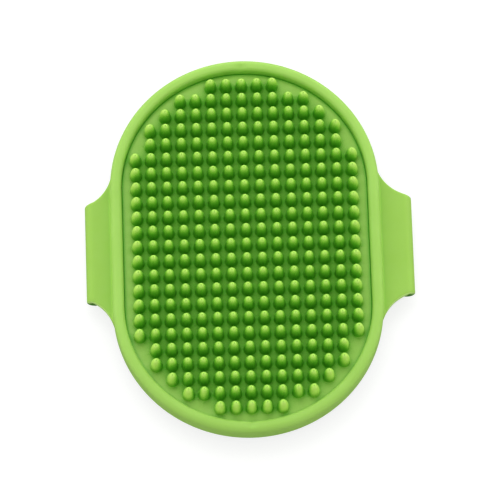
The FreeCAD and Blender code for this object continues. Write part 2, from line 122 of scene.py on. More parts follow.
# Rim
RIM_INNER_RADIUS = 40.95 * MM
RIM_OUTER_ROUND = 1.95 * MM
RIM_INNER_ROUND = 1.2 * MM
RIM_FOOT_ROUND = 1.2 * MM
LIP_BOTTOM = 3.45 * MM
LIP_EDGE = 0.6 * MM
SEAT_RADIUS = 42.8 * MM
GROOVE_RADIUS = 43.75 * MM
GROOVE_LOW = 0.65 * MM
GROOVE_HIGH = 1.4 * MM
MOUTH_RADIUS = 42.85 * MM
MOUTH_ROUND = 0.25 * MM

MARK_DEPTH = 0.45 * MM
MARK_HALF_WIDTH = 1.4 * MM
MARK_OUTER_RADIUS = 43.9 * MM
MARK_SLOPE = 1.8 * MM
MARK_SHARPNESS = 8

# Strap
STRAP_THICKNESS = 2.0 * MM
STRAP_START = 43.15 * MM
FOLD_RADIUS = 1.9 * MM
FOLD_HALF_WIDTH = 17.0 * MM
FOLD_WIDTH_EASE = 1.5
EAR_HALF_WIDTH = 17.9 * MM
EAR_END = 44.45 * MM
EAR_CORNER_RADIUS = 0.7 * MM
EAR_CORNER_END = 45.7 * MM
EAR_ROOT_HALF_WIDTH = 26.5 * MM
EAR_FLARE_RADIUS = 14.0 * MM
END_HALF_WIDTH = 14.0 * MM
END_ROUND = 6.0 * MM
EDGE_ROUND = 0.55 * MM
TIP_ROUND = 0.5 * MM

# Places of the painted highlight on the strap's cut edges and of the painted shade inside its fold.
# The last three are shares of the fold's length.
SIDE_HIGHLIGHT_WIDTH = 0.3 * EDGE_ROUND
SIDE_HIGHLIGHT_FADE = 2.0 * MM
INSIDE_SHADE_BELOW = 0.9 * STRAP_THICKNESS / 2
INSIDE_SHADE_START = 0.35
INSIDE_SHADE_EASE = 0.3
INSIDE_SHADE_FADE = 0.5

# Ladder and studs
LADDER_TOP = -2.6 * MM
LADDER_TOP_STEP = (15.7 * MM, 11.3 * MM)
LADDER_BOTTOM_STEP = (16.4 * MM, 12.0 * MM)
LADDER_SEATS = 4
LADDER_PITCH = 8.0 * MM
LADDER_SEAT_RADIUS = 2.3 * MM
CHANNEL_HALF_WIDTH = 1.6 * MM
RECESS_HALF_WIDTH = 3.4 * MM
RECESS_TOP = -3.9 * MM
SLOT_LIP = 0.3 * MM
CUT_CLEAR = 1.0 * MM
STUD_PLACE = -4.0 * MM
STUD_HALF_SPACING = 7.0 * MM
STUD_HEAD_RADIUS = 3.2 * MM
STUD_RADIUS = 1.5 * MM
STUD_FLANGE_RADIUS = 2.55 * MM
STUD_SHANK = (-4.0 * MM, -1.15 * MM)
STUD_HOLE_RADIUS = 1.53 * MM
STUD_HOLE_TOP = -0.9 * MM
STUD_SEAT_RADIUS = 2.62 * MM
STUD_SEAT_LEVEL = -1.2 * MM
STUD_ROUND = 0.35 * MM

# Back plate and anchor pins
PLATE_FACE_RADIUS = 41.9 * MM
PLATE_RADIUS = 42.75 * MM
TONGUE_LOW = 0.7 * MM
PLATE_ROUND = 0.3 * MM
PIN_HEAD_RADIUS = 2.6 * MM
PIN_HEAD_TOP = 0.55 * MM
PIN_HEAD_SUNK = 0.04 * MM
PIN_RADIUS = 1.5 * MM
PIN_TOP = 3.3 * MM
PIN_ROUND = 0.2 * MM
PIN_SEAT_RADIUS = 2.65 * MM
PIN_SEAT_TOP = 0.6 * MM
PIN_SEAT_LIP = 0.35 * MM
PIN_SEAT_LIP_LEVELS = (-0.2 * MM, 0.15 * MM)
PIN_PLACE = 39.5 * MM
PIN_PITCH = 12.0 * MM

# Flat middle of the turned pieces
CORE_RADIUS = 0.3 * MM

# Colours, linear
RIM_RUBBER = srgb(159, 208, 90)
RIM_RUBBER_DEEP = srgb(155, 204, 85)
STRAP_RUBBER = srgb(154, 202, 79)
STRAP_RUBBER_DEEP = srgb(150, 198, 74)
# Painted highlight along the strap's cut edges
SIDE_PAINTED_HIGHLIGHT = srgb(188, 228, 124)
# Painted shade inside the strap's fold
INSIDE_PAINTED_SHADE = (0.06, 0.24, 0.012, 1.0)
# Painted shade on the pad's skin next to the rim
CREASE_PAINTED_SHADE = (0.09, 0.46, 0.02, 1.0)
# Painted shade, deep green, in the rubber's crevices and corners
CREVICE_PAINTED_SHADE = (0.15, 0.66, 0.02, 1.0)
PLATE_PLASTIC = srgb(122, 178, 62)
PLATE_PLASTIC_DEEP = srgb(112, 170, 56)
PIN_PLASTIC = srgb(116, 172, 58)
PIN_PLASTIC_DEEP = srgb(106, 162, 52)

# Pad colours with painted light and painted shade, by how open the surface is to the light, from 0 to
# 1
BRISTLE_PAINTED_SHADES = [
    (0.20, (0.085, 0.38, 0.014, 1)),
    (0.31, (0.105, 0.42, 0.02, 1)),
    (0.47, (0.11, 0.43, 0.020, 1)),
    (0.66, (0.165, 0.50, 0.027, 1)),
    (0.82, (0.32, 0.66, 0.060, 1)),
    (0.94, (0.49, 0.80, 0.12, 1)),
]
PAD_PAINTED_SHADES = [
    (0.35, (0.12, 0.45, 0.024, 1)),
    (0.50, (0.19, 0.53, 0.042, 1)),
    (0.80, (0.42, 0.72, 0.12, 1)),
]

# Heights between which the skin's colours pass into the bristles'
BRISTLE_FOOT_LEVELS = (PAD_PLANE + 0.02 * MM, PAD_PLANE + 0.5 * MM)

# Noise scales, in features per metre, and the reliefs made from them
MOTTLE_SCALE = 70.0
SHEEN_SCALE = 400.0
GRAIN_SCALE = 3200.0
GRAIN_STRENGTH = 0.1
GRAIN_DEPTH = 0.05 * MM
PLASTIC_TONE_SCALE = 120.0
PLASTIC_SHEEN_SCALE = 900.0
SPARK_SCALE = 2400.0
SPARK_STRENGTH = 0.35
SPARK_DEPTH = 0.06 * MM

# How far a surface casts painted shade on its neighbours, and the openness over which that painted
# shade fades
CREVICE_REACH = 1.6 * MM
CREVICE_OPENNESS = (0.2, 0.8)
CREASE_REACH = 2.0 * MM
CREASE_OPENNESS = (0.4, 0.8)
BRISTLE_SHADE_REACH = 8.0 * MM

# Finish of each material
RUBBER_ROUGHNESS = (0.48, 0.60)
RUBBER_SPECULAR = 0.35
RUBBER_GLOW_WEIGHT = 0.12
RUBBER_GLOW_RADIUS = (0.7, 1.0, 0.3)
RUBBER_GLOW_SCALE = 1.0 * MM
PAD_ROUGHNESS = (0.40, 0.50)
PAD_SPECULAR = (0.08, 0.5)
PAD_SPECULAR_OPENNESS = (0.5, 0.95)
PLASTIC_ROUGHNESS = (0.42, 0.58)

# Stage
FLOOR_HALF_SIZE = 6.0
FLOOR_GAP = 0.05 * MM
FLOOR_GREY = 0.33
FLOOR_GLOW = 0.74
FLOOR_ROUGHNESS = 0.9
TENT_STRENGTH = 2.0
TENT_DROP = 0.77
TENT_LEAN = (0.0, 0.42, 0.0)
KEY_SIZE = (0.6, 0.5)
KEY_WATTS = 1.8
KEY_PLACE = (-0.1, 0.4, 0.95)
CAMERA_CLIP = (0.1, 20.0)
CAMERA_SENSOR = 36.0
CAMERA_LENS = 387.36
CAMERA_TURN = (19.8984, -0.1605, -1.8288)
CAMERA_AIM = (1.218 * MM, 0.407 * MM, 0.0)
CAMERA_DISTANCE = 1.79001


# ------------------------------------------------------------------ meshes

def new_piece(name, points, faces, smooth_angle=SMOOTH_ANGLE):
    """A mesh object from points and faces, with its normals outwards."""
    mesh = bpy.data.meshes.new(name)
    mesh.from_pydata([tuple(point) for point in points], [], faces)
    tidy_mesh(mesh, smooth_angle)
    piece = bpy.data.objects.new(name, mesh)
    bpy.context.scene.collection.objects.link(piece)
    return piece


def tidy_mesh(mesh, smooth_angle=SMOOTH_ANGLE):
    """Merge doubles, turn the normals outwards and keep edges sharper than the angle."""
    work = bmesh.new()
    work.from_mesh(mesh)
    bmesh.ops.remove_doubles(work, verts=work.verts, dist=1e-7)
    bmesh.ops.recalc_face_normals(work, faces=work.faces)
    work.to_mesh(mesh)
    work.free()
    mesh.shade_smooth()
    mesh.set_sharp_from_angle(angle=math.radians(smooth_angle))
    mesh.update()


def arc_points(centre, radius, start, finish, steps):
    """Points of an arc in a plane, from start to finish in degrees."""
    points = []
    for step in range(steps + 1):
        angle = math.radians(start + (finish - start) * step / steps)
        points.append((centre[0] + radius * math.cos(angle), centre[1] + radius * math.sin(angle)))
    return points


def stadium_stations(arc_steps=72, side_steps=24):
    """Centre line and outward direction all round the body's plan."""
    stations = []
    for middle, start in ((STRAIGHT_HALF, 0.0), (-STRAIGHT_HALF, math.pi)):
        for step in range(arc_steps):
            angle = start + math.pi * step / arc_steps
            stations.append((0.0, middle, math.cos(angle), math.sin(angle)))
        across = math.cos(start + math.pi)
        for step in range(side_steps):
            stations.append((0.0, middle * (1 - 2 * step / side_steps), across, 0.0))
    return stations


def stadium_loop(radius, arc_steps=72, side_steps=24):
    """The body's plan outline at a radius."""
    return [(cx + nx * radius, cy + ny * radius)
            for cx, cy, nx, ny in stadium_stations(arc_steps, side_steps)]


def ring_piece(name, profile_at, arc_steps=144, side_steps=48):
    """A closed profile carried round the body's plan; profile_at gives it for each station."""
    stations = stadium_stations(arc_steps, side_steps)
    points = []
    for station in stations:
        cx, cy, nx, ny = station
        for radius, height in profile_at(station):
            points.append((cx + nx * radius, cy + ny * radius, height))
    count = len(points) // len(stations)
    faces = bridge_faces(len(stations), count, closed=True)
    return new_piece(name, points, faces)


def bridge_faces(rows, count, closed=False):
    """Quads between rows of points, each row a loop of the same count."""
    faces = []
    for row in range(rows if closed else rows - 1):
        after = (row + 1) % rows
        for column in range(count):
            right = (column + 1) % count
            faces.append((row * count + column, row * count + right,
                          after * count + right, after * count + column))
    return faces


def loft_piece(name, loops, smooth_angle=SMOOTH_ANGLE):
    """A solid through loops of the same count, capped at both ends."""
    count = len(loops[0])
    points = [point for loop in loops for point in loop]
    faces = bridge_faces(len(loops), count)
    faces.append(tuple(range(count)))
    last = (len(loops) - 1) * count
    faces.append(tuple(range(last, last + count)))
    return new_piece(name, points, faces, smooth_angle)


def turned_loops(outline, segments):
    """Loops of an outline of (radius, height) turned about the Z axis."""
    loops = []
    for radius, height in outline:
        loop = []
        for k in range(segments):
            angle = TAU * k / segments
            loop.append((radius * math.cos(angle), radius * math.sin(angle), height))
        loops.append(loop)
    return loops


def join_copies(name, loops, places):
    """One piece of the same capped solid at several places."""
    count = len(loops[0])
    points = []
    faces = []
    for x, y in places:
        base = len(points)
        points += [(px + x, py + y, pz) for loop in loops for px, py, pz in loop]
        faces += [tuple(base + index for index in face) for face in bridge_faces(len(loops), count)]
        last = base + (len(loops) - 1) * count
        faces.append(tuple(range(base, base + count)))
        faces.append(tuple(range(last, last + count)))
    return new_piece(name, points, faces)


# ------------------------------------------------------------- bristle pad

def bristle_places():
    """Bristle centres: a square grid, kept inside the field's outline."""
    places = []
    for row in range(-BRISTLE_ROWS, BRISTLE_ROWS + 1):
        for column in range(-BRISTLE_COLUMNS, BRISTLE_COLUMNS + 1):
            x = column * BRISTLE_PITCH
            y = row * BRISTLE_PITCH
            past_straight = max(0.0, abs(y) - STRAIGHT_HALF)
            if math.hypot(x, past_straight) <= BRISTLE_FIELD_RADIUS:
                places.append((x, y))
    return places


def bristle_outline():
    """Radius and height of a bristle above the pad, from its soft foot to its dimpled tip."""
    height = PAD_HIGH.z - PAD_PLANE
    outline = [(BRISTLE_FOOT_RADIUS, 0.0)]
    for degrees in (15, 35, 60):
        angle = math.radians(degrees)
        flare = (BRISTLE_FOOT_RADIUS - BRISTLE_RADIUS) * (1 - math.sin(angle))
        outline.append((BRISTLE_RADIUS + flare, BRISTLE_FOOT_ROUND * (1 - math.cos(angle))))
    for step in range(2, BRISTLE_STEPS):
        angle = math.radians(90 * step / BRISTLE_STEPS)
        level = height * math.sin(angle) ** BRISTLE_STEP_POWER
        radius = BRISTLE_RADIUS * (1 - (level / height) ** BRISTLE_FULLNESS) ** 0.5
        outline.append((radius, level))
    outline += [(TIP_RADIUS, height), (TIP_DIMPLE_RADIUS, height - TIP_DIMPLE)]
    return outline, height - TIP_DIMPLE


def pad_skin(places, border, ring):
    """Points and faces of the pad's flat skin, open round every bristle foot."""
    flat = [Vector(point) for point in border]
    loops = [list(range(len(border)))]
    for x, y in places:
        loops.append(list(range(len(flat), len(flat) + BRISTLE_SEGMENTS)))
        flat += [Vector((x + BRISTLE_FOOT_RADIUS * c, y + BRISTLE_FOOT_RADIUS * s)) for c, s in ring]
    edges = [(loop[k], loop[(k + 1) % len(loop)]) for loop in loops for k in range(len(loop))]
    spots, _, triangles, _, _, _ = delaunay_2d_cdt(flat, edges, [], 0, 1e-9)
    centres = np.array(places)
    points = [(spot.x, spot.y, PAD_PLANE) for spot in spots]
    faces = []
    for triangle in triangles:
        middle = sum((spots[k] for k in triangle), Vector((0, 0))) / 3
        nearest = np.hypot(centres[:, 0] - middle.x, centres[:, 1] - middle.y).min()
        if nearest > BRISTLE_FOOT_COVER:
            faces.append(tuple(triangle))
    return points, faces


def add_bristles(points, faces, places, ring):
    """Add every bristle to the points and faces of the pad."""
    outline, height = bristle_outline()
    for x, y in places:
        base = len(points)
        for radius, level in outline:
            points += [(x + radius * c, y + radius * s, PAD_PLANE + level) for c, s in ring]
        faces += [tuple(base + k for k in face)
                  for face in bridge_faces(len(outline), BRISTLE_SEGMENTS)]
        last = base + (len(outline) - 1) * BRISTLE_SEGMENTS
        tip = len(points)
        points.append((x, y, PAD_PLANE + height))
        faces += [(last + k, last + (k + 1) % BRISTLE_SEGMENTS, tip)
                  for k in range(BRISTLE_SEGMENTS)]


def add_pad_side(points, faces):
    """Add the pad's rounded edge, its flange and its flat back."""
    side = []
    for degrees in (0, 22, 45, 68, 90):
        angle = math.radians(degrees)
        side.append((PAD_RADIUS - PAD_EDGE_ROUND * (1 - math.sin(angle)),
                     PAD_PLANE - PAD_EDGE_ROUND * (1 - math.cos(angle))))
    side += [(PAD_RADIUS, FLANGE_TOP), (FLANGE_RADIUS, FLANGE_TOP), (FLANGE_RADIUS, PAD_LOW.z)]
    base = len(points)
    for radius, level in side:
        points += [(px, py, level) for px, py in stadium_loop(radius)]
    count = (len(points) - base) // len(side)
    faces += [tuple(base + k for k in face) for face in bridge_faces(len(side), count)]
    last = base + (len(side) - 1) * count
    faces.append(tuple(range(last, last + count)))


def make_bristle_pad():
    """The pad: a skin with its bristles, and the flange below that the rim's lip holds."""
    places = bristle_places()
    ring = [(math.cos(TAU * k / BRISTLE_SEGMENTS), math.sin(TAU * k / BRISTLE_SEGMENTS))
            for k in range(BRISTLE_SEGMENTS)]
    points, faces = pad_skin(places, stadium_loop(PAD_RADIUS - PAD_EDGE_ROUND), ring)
    add_bristles(points, faces, places, ring)
    add_pad_side(points, faces)
    pad = new_piece("bristle_pad_moulding", points, faces, PAD_SMOOTH_ANGLE)
    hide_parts("bristle_pad")
    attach(pad, "brush")
    return pad


# --------------------------------------------------------------------- rim

def rim_profile(station):
    """Section of the rim at one station, (radius, height), with the moulding mark at each end."""
    _, middle, nx, ny = station
    crest = RIM_HIGH.z
    mark = 0.0
    if abs(middle) >= STRAIGHT_HALF - 1e-9:
        along = math.atan2(nx, abs(ny)) * BODY_RADIUS
        mark = MARK_DEPTH / (1 + (along / MARK_HALF_WIDTH) ** MARK_SHARPNESS)
    foot = (BODY_RADIUS - RIM_FOOT_ROUND, RIM_FOOT_ROUND)
    outer = (BODY_RADIUS - RIM_OUTER_ROUND, crest - RIM_OUTER_ROUND)
    inner = (RIM_INNER_RADIUS + RIM_INNER_ROUND, crest - RIM_INNER_ROUND)
    profile = arc_points(foot, RIM_FOOT_ROUND, -90, 0, 5)
    bead = arc_points(outer, RIM_OUTER_ROUND, 0, 90, 12)
    bead += arc_points(inner, RIM_INNER_ROUND, 90, 180, 12)
    for radius, level in bead:
        profile.append((radius, level - mark * smooth_step((MARK_OUTER_RADIUS - radius) / MARK_SLOPE)))
    profile += [(RIM_INNER_RADIUS, LIP_BOTTOM + LIP_EDGE), (RIM_INNER_RADIUS, LIP_BOTTOM)]
    profile += [(SEAT_RADIUS, LIP_BOTTOM), (SEAT_RADIUS, GROOVE_HIGH), (GROOVE_RADIUS, GROOVE_HIGH)]
    profile += [(GROOVE_RADIUS, GROOVE_LOW), (MOUTH_RADIUS, GROOVE_LOW)]
    profile += arc_points((MOUTH_RADIUS + MOUTH_ROUND, MOUTH_ROUND), MOUTH_ROUND, 180, 270, 3)
    return profile


def make_rim():
    """The soft rim with its bead, lip and groove."""
    rim = ring_piece("rim_moulding", rim_profile)
    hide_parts("rim_frame")
    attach(rim, "brush")
    return rim


# ------------------------------------------------------------------- strap

def section_loop(half_width, above, below, edge=EDGE_ROUND, columns=16):
    """Rounded cross-section of the strap as (across, out) points."""
    edge = min(edge, (above + below) / 2 - 1e-6)
    inner = half_width - edge
    loop = []
    for column in range(columns + 1):
        loop.append((-inner + 2 * inner * column / columns, above))
    loop += arc_points((inner, above - edge), edge, 90, 0, 4)[1:]
    loop += arc_points((inner, -below + edge), edge, 0, -90, 4)
    for column in range(1, columns + 1):
        loop.append((inner - 2 * inner * column / columns, -below))
    loop += arc_points((-inner, -below + edge), edge, -90, -180, 4)[1:]
    loop += arc_points((-inner, above - edge), edge, 180, 90, 4)[:-1]
    return loop


def ear_half_width(out, fold):
    """Half the strap's width at a distance from the body's middle, beside the body."""
    if out >= fold:
        share = min(1.0, (out - fold) / (FOLD_RADIUS + STRAP_THICKNESS / 2))
        return EAR_HALF_WIDTH + (FOLD_HALF_WIDTH - EAR_HALF_WIDTH) * share
    start = Vector((EAR_END, EAR_ROOT_HALF_WIDTH))
    end = Vector((fold, EAR_HALF_WIDTH))
    chord = end - start
    rise = math.sqrt(EAR_FLARE_RADIUS ** 2 - (chord.length / 2) ** 2)
    centre = (start + end) / 2 + Vector((-chord.y, chord.x)).normalized() * rise
    if out <= EAR_END:
        return EAR_ROOT_HALF_WIDTH
    return centre.y - math.sqrt(EAR_FLARE_RADIUS ** 2 - (out - centre.x) ** 2)


class StrapPath:
    """The strap half's way from inside the rim, round the fold and back behind the body."""

    def __init__(self, side, fold_joint, bend_joint):
        self.side = side
        place = JOINT_PLACE[fold_joint]
        self.fold = abs(place.x)
        self.level = place.z
        self.bend = JOINT_PLACE[bend_joint].x * side
        self.start = STRAP_START
        self.top_length = self.fold - self.start
        self.fold_length = math.pi * FOLD_RADIUS
        self.link_middle = (self.fold + self.bend) / 2

    def half_width(self, along):
        """Half width at a distance along the middle of the sheet."""
        if along <= self.top_length:
            return ear_half_width(self.start + along, self.fold)
        angle = (along - self.top_length) / FOLD_RADIUS
        if angle <= math.pi / 2:
            reach = math.sin(angle) * FOLD_RADIUS * FOLD_WIDTH_EASE
            return ear_half_width(self.fold + reach, self.fold)
        back = max(0.0, along - self.top_length - self.fold_length)
        share = min(1.0, back / (self.fold - self.bend))
        return FOLD_HALF_WIDTH + (END_HALF_WIDTH - FOLD_HALF_WIDTH) * share

    def place(self, along, across, out):
        """Point of the folded strap; out is the distance outwards from the sheet's middle."""
        if along <= self.top_length:
            distance = self.start + along
            height = self.level + FOLD_RADIUS + out
        elif along <= self.top_length + self.fold_length:
            angle = (along - self.top_length) / FOLD_RADIUS
            distance = self.fold + (FOLD_RADIUS + out) * math.sin(angle)
            height = self.level + (FOLD_RADIUS + out) * math.cos(angle)
        else:
            distance = self.fold - (along - self.top_length - self.fold_length)
            height = self.level - FOLD_RADIUS - out
        return (self.side * distance, across, height)


def corner_rise(out, across):
    """Rise of the ear's upper face in the soft corner where it meets the rim."""
    beyond = math.hypot(out, max(0.0, abs(across) - STRAIGHT_HALF)) - BODY_RADIUS
    short = min(EAR_CORNER_RADIUS, max(0.0, EAR_CORNER_RADIUS - beyond))
    return EAR_CORNER_RADIUS - math.sqrt(EAR_CORNER_RADIUS ** 2 - short ** 2)


def make_ear_and_link(name, path):
    """Strap from inside the rim to the middle of the link.

    It is built flat, along X, and then folded round its axis.
    """
    fold_end = path.top_length + path.fold_length
    length = fold_end + (path.fold - path.link_middle)
    rim = BODY_RADIUS - path.start
    corner_end = EAR_CORNER_END - path.start
    stations = []
    for start, finish, steps in ((0, rim, 4), (rim, corner_end, 10),
                                 (corner_end, path.top_length, 14),
                                 (path.top_length, fold_end, 32)):
        stations += list(np.linspace(start, finish, steps, endpoint=False))
    stations += list(np.linspace(fold_end, length, 16))
    loops = []
    half = STRAP_THICKNESS / 2
    for along in stations:
        loop = []
        for across, out in section_loop(path.half_width(along), half, half, columns=32):
            if out > 0 and along < path.top_length:
                out += corner_rise(path.start + along, across)
            loop.append((along, across, out))
        loops.append(loop)
    piece = loft_piece(name, loops)
    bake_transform(piece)
    mark_painted_light(piece, path)
    for vertex in piece.data.vertices:
        vertex.co = path.place(*vertex.co)
    tidy_folded(piece)
    return piece


def mark_painted_light(piece, path):
    """Mark the flat ear piece's cut edges for a painted highlight and the inside of its fold for
    painted shade.
    """
    sides = piece.data.attributes.new("side", "FLOAT", "POINT")
    insides = piece.data.attributes.new("inside", "FLOAT", "POINT")
    for vertex, side, inside in zip(piece.data.vertices, sides.data, insides.data):
        to_side = path.half_width(vertex.co.x) - abs(vertex.co.y)
        on_side = 1.0 if to_side < SIDE_HIGHLIGHT_WIDTH else 0.0
        round_fold = (vertex.co.x - path.top_length) / path.fold_length
        under = smooth_step((round_fold - INSIDE_SHADE_START) / INSIDE_SHADE_EASE)
        fading = 1.0 - smooth_step((round_fold - 1.0) / INSIDE_SHADE_FADE)
        beyond_rim = smooth_step((path.start + vertex.co.x - BODY_RADIUS) / SIDE_HIGHLIGHT_FADE)
        side.value = on_side * (1.0 - under) * beyond_rim
        inside.value = under * fading if vertex.co.z < INSIDE_SHADE_BELOW else 0.0


def tidy_folded(piece):
    """Turn the folded sheet's normals outwards again."""
    work = bmesh.new()
    work.from_mesh(piece.data)
    bmesh.ops.recalc_face_normals(work, faces=work.faces)
    work.to_mesh(piece.data)
    work.free()
    piece.data.set_sharp_from_angle(angle=math.radians(SMOOTH_ANGLE))
    piece.data.update()


def smooth_step(share):
    """Ease from 0 to 1."""
    share = max(0.0, min(1.0, share))
    return share * share * (3 - 2 * share)


def corner_inset(distance_to_tip):
    """How far a free end's rounded corners draw its side in, at a distance from the tip."""
    short = END_ROUND - min(max(distance_to_tip, 0.0), END_ROUND)
    return END_ROUND - math.sqrt(END_ROUND ** 2 - short ** 2)


def end_loops(path, tip, top_at, bottom_at):
    """Sections of a strap end from the middle of the link to its tip, along side * X."""
    span = path.link_middle - tip
    stations = list(np.linspace(0, span - END_ROUND, 90, endpoint=False))
    stations += [span - END_ROUND + END_ROUND * math.sin(math.radians(a)) for a in range(0, 80, 8)]
    loops = []
    for along in stations:
        if along < span - TIP_ROUND:
            loops.append(end_section(path, tip, along, 0.0, top_at, bottom_at))
    for angle in range(0, 91, 18):
        inset = TIP_ROUND * (1 - math.cos(math.radians(angle)))
        along = span - TIP_ROUND + TIP_ROUND * math.sin(math.radians(angle))
        loops.append(end_section(path, tip, along, inset, top_at, bottom_at))
    return loops


def end_section(path, tip, along, inset, top_at, bottom_at):
    """One section of a strap end, drawn in by inset to round the tip."""
    out = path.link_middle - along
    half = path.half_width(path.top_length + path.fold_length + path.fold - out)
    half -= corner_inset(out - tip) + inset
    top = top_at(out) - inset
    bottom = bottom_at(out) + inset
    middle = (top + bottom) / 2
    section = section_loop(half, top - middle, middle - bottom)
    return [(path.side * out, across, middle + up) for across, up in section]


def cut_with(piece, cutters):
    """Boolean difference of a piece with each cutter, applied to the mesh."""
    for cutter in cutters:
        modifier = piece.modifiers.new("cut", "BOOLEAN")
        modifier.object = cutter
        modifier.operation = "DIFFERENCE"
        modifier.solver = "EXACT"
    graph = bpy.context.evaluated_depsgraph_get()
    result = bpy.data.meshes.new_from_object(piece.evaluated_get(graph))
    piece.modifiers.clear()
    piece.data = result
    for cutter in cutters:
        bpy.data.objects.remove(cutter)
    tidy_mesh(piece.data)


def prism(name, outline, middle, levels):
    """A cutter: an outline about a middle, grown by each level's amount, lowest level first.

    levels is a list of (height, growth) and outline a function of the middle and the growth.
    """
    loops = [[(x, y, height) for x, y in outline(middle, growth)] for height, growth in levels]
    return loft_piece(name, loops)


def ladder_slot_outline(middle, growth):
    """Round seats joined by a channel, grown by an amount."""
    radius = LADDER_SEAT_RADIUS + growth
    meeting = math.degrees(math.asin((CHANNEL_HALF_WIDTH + growth) / radius))
    upper = []
    for seat in range(LADDER_SEATS):
        start = 180 if seat == 0 else 180 - meeting
        finish = 0 if seat == LADDER_SEATS - 1 else meeting
        centre = (STUD_PLACE + LADDER_PITCH * seat, 0.0)
        steps = max(4, round((start - finish) / 15))
        upper += arc_points(centre, radius, start, finish, steps)
    lower = [(x, -y) for x, y in reversed(upper[1:-1])]
    return [(x, middle + y) for x, y in upper + lower]


def recess_outline(middle, growth):
    """Capsule that the stud heads run in, grown by an amount."""
    radius = RECESS_HALF_WIDTH + growth
    last = STUD_PLACE + LADDER_PITCH * (LADDER_SEATS - 1)
    left = arc_points((STUD_PLACE, middle), radius, 90, 270, 20)
    right = arc_points((last, middle), radius, -90, 90, 20)
    return left + right


def round_cutter(name, radius, centre, levels, segments=40):
    """A round cutter; levels is a list of (height, growth of the radius)."""
    def circle(centre, growth):
        points = []
        for k in range(segments):
            angle = TAU * k / segments
            points.append((centre[0] + (radius + growth) * math.cos(angle),
                           centre[1] + (radius + growth) * math.sin(angle)))
        return points

    return prism(name, circle, centre, levels)


def rounded(points, radius, steps=4):
    """A chain of (radius, height) corners with each inner corner rounded."""
    chain = [points[0]]
    for before, corner, after in zip(points, points[1:], points[2:]):
        place = Vector(corner)
        back = Vector(before) - place
        ahead = Vector(after) - place
        reach = min(radius, back.length * 0.45, ahead.length * 0.45)
        first = place + back.normalized() * reach
        last = place + ahead.normalized() * reach
        for step in range(steps + 1):
            share = step / steps
            spot = first.lerp(place, share).lerp(place.lerp(last, share), share)
            chain.append((spot.x, spot.y))
    chain.append(points[-1])
    return chain


def make_ladder_end(path):
    """Left strap end: it steps down under the other end and has the two slots."""
    def eased(out, start, finish, high, low):
        return high + (low - high) * smooth_step((start - out) / (start - finish))

    def top_at(out):
        return eased(out, *LADDER_TOP_STEP, LINK_HIGH.z, LADDER_TOP)

    def bottom_at(out):
        return eased(out, *LADDER_BOTTOM_STEP, LINK_LOW.z, LADDER_LOW.z)

    loops = end_loops(path, -LADDER_HIGH.x, top_at, bottom_at)
    piece = loft_piece("left_strap_end_sheet", loops)
    lip = SLOT_LIP
    recess = [(LADDER_LOW.z - lip, 2 * lip), (LADDER_LOW.z + lip, 0.0), (RECESS_TOP, 0.0)]
    slot = [(RECESS_TOP - CUT_CLEAR / 2, lip), (RECESS_TOP, lip), (RECESS_TOP + lip, 0.0),
            (LADDER_TOP - lip, 0.0), (LADDER_TOP, lip), (LADDER_TOP + CUT_CLEAR, lip)]
    cutters = []
    for middle in (-STUD_HALF_SPACING, STUD_HALF_SPACING):
        cutters.append(prism("recess", recess_outline, middle, recess))
        cutters.append(prism("slot", ladder_slot_outline, middle, slot))
    cut_with(piece, cutters)
    return piece


def stud_places():
    """The two studs, side by side."""
    return [(STUD_PLACE, -STUD_HALF_SPACING), (STUD_PLACE, STUD_HALF_SPACING)]


def make_stud_end(path):
    """Right strap end: flat, with a counterbored hole for each stud."""
    loops = end_loops(path, STUD_END_LOW.x, lambda out: LINK_HIGH.z, lambda out: LINK_LOW.z)
    piece = loft_piece("right_strap_end_sheet", loops)
    hole = [(LINK_LOW.z - CUT_CLEAR, 0.0), (STUD_HOLE_TOP, 0.0)]
    seat = [(STUD_SEAT_LEVEL, 0.0), (LINK_HIGH.z + CUT_CLEAR, 0.0)]
    cutters = []
    for centre in stud_places():
        cutters.append(round_cutter("stud_hole", STUD_HOLE_RADIUS, centre, hole))
        cutters.append(round_cutter("stud_seat", STUD_SEAT_RADIUS, centre, seat))
    cut_with(piece, cutters)
    return piece


def make_straps():
    """Both strap halves, each in two pieces that meet in the middle of the link."""
    left = StrapPath(-1, "left_fold", "left_bend")
    right = StrapPath(1, "right_fold", "right_bend")
    pieces = {
        "left_strap_ear": make_ear_and_link("left_strap_ear", left),
        "right_strap_ear": make_ear_and_link("right_strap_ear", right),
        "left_strap_end": make_ladder_end(left),
        "right_strap_end": make_stud_end(right),
    }
    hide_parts("left_strap_root", "left_strap_link")
    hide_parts("right_strap_root", "right_strap_link")
    for name, path, link, end in (("left_strap_end", left, "left_link", "left_end"),
                                  ("right_strap_end", right, "right_link", "right_end")):
        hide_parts(name)
        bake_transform(pieces[name])
    return list(pieces.values())


# ------------------------------------------------- plate, pins and studs

def pin_places():
    """Anchor pins: a row of three beside each strap tab."""
    return [(side * PIN_PLACE, step * PIN_PITCH) for side in (-1, 1) for step in (-1, 0, 1)]


def make_back_plate():
    """Stiff plate in the rim's mouth, with a seat for every pin head."""
    corners = [(PLATE_FACE_RADIUS, PLATE_LOW.z), (PLATE_RADIUS, PLATE_LOW.z),
               (PLATE_RADIUS, TONGUE_LOW), (PLATE_HIGH.x, TONGUE_LOW),
               (PLATE_HIGH.x, PLATE_HIGH.z), (PLATE_RADIUS, PLATE_HIGH.z)]
    loops = [[(x, y, level) for x, y in stadium_loop(radius)]
             for radius, level in rounded(corners, PLATE_ROUND)]
    plate = loft_piece("back_plate_moulding", loops)
    lip_low, lip_high = PIN_SEAT_LIP_LEVELS
    seat = [(lip_low, PIN_SEAT_LIP), (lip_high, 0.0), (PIN_SEAT_TOP, 0.0)]
    cut_with(plate, [round_cutter("seat", PIN_SEAT_RADIUS, place, seat) for place in pin_places()])
    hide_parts("back_plate")
    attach(plate, "brush")
    return plate


